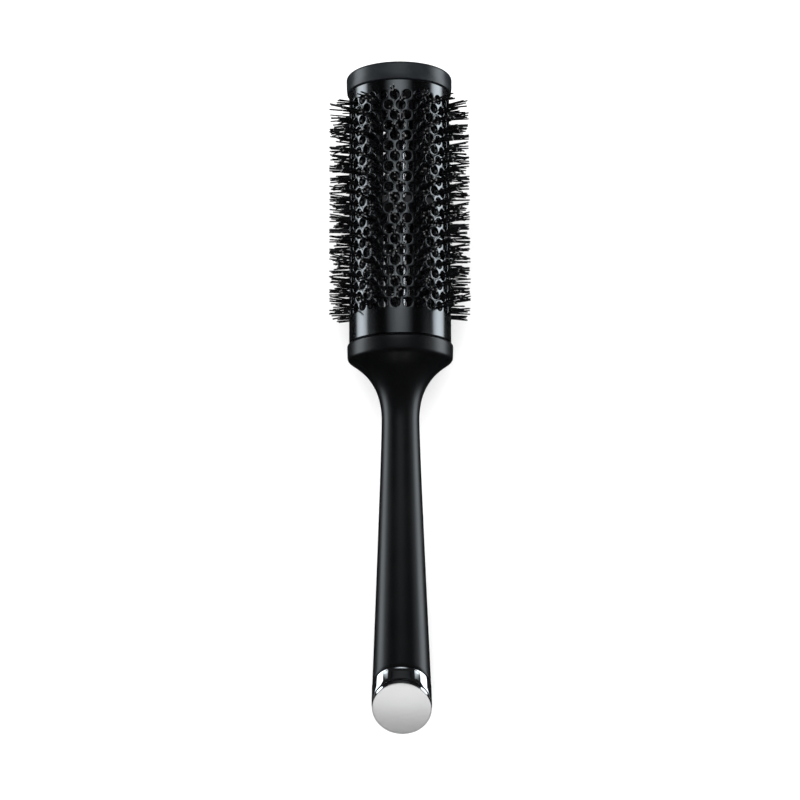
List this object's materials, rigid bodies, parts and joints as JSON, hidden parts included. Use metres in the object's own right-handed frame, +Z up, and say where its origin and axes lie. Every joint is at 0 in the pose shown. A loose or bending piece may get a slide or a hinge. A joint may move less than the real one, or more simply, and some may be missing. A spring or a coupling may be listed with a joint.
{
  "type": "round barrel brush",
  "caption": "Vented round hair brush: a perforated metal barrel with zigzag bristle strips, an end cap and a soft-touch handle with a chrome tip.",
  "frame": {"origin": "centre of the footprint, on the surface the brush lies on", "axes": "+Y towards the barrel's free end, +Z up from the table, +X to the right; the brush's own axis leans 5.7 degrees up from +Y, because it rests on its bristles and the tip of its handle"},
  "size_m": [0.0634, 0.2926, 0.0722],
  "materials": {
    "coated_metal": "polished coated barrel",
    "cap_plastic": "dark grey satin plastic",
    "soft_touch": "black soft-touch coating",
    "bristle_nylon": "black nylon filament",
    "inner_plastic": "moulded black heat-resistant plastic",
    "chrome": "mirror chrome",
    "satin_metal": "fine brushed satin",
    "brass": "machined",
    "steel": "zinc plated"
  },
  "bodies": {
    "root": {"barrel_tube": "coated_metal", "bristle_strip_01": "bristle_nylon", "bristle_strip_02": "bristle_nylon", "bristle_strip_03": "bristle_nylon", "bristle_strip_04": "bristle_nylon", "bristle_strip_05": "bristle_nylon", "bristle_strip_06": "bristle_nylon", "bristle_strip_07": "bristle_nylon", "bristle_strip_08": "bristle_nylon", "bristle_strip_09": "bristle_nylon", "bristle_strip_10": "bristle_nylon", "bristle_strip_11": "bristle_nylon", "bristle_strip_12": "bristle_nylon", "bristle_strip_13": "bristle_nylon", "rear_hub": "inner_plastic", "middle_hub": "inner_plastic", "front_hub": "inner_plastic", "tie_rod": "steel", "end_cap": "cap_plastic", "end_grille": "inner_plastic", "rod_washer": "steel", "end_nut": "steel", "heat_washer": "inner_plastic", "handle_sleeve": "soft_touch", "handle_core": "inner_plastic", "threaded_insert": "brass", "tip_ferrule": "chrome", "tip_plug": "inner_plastic", "badge_disc": "satin_metal"}
  },
  "joints": []
}
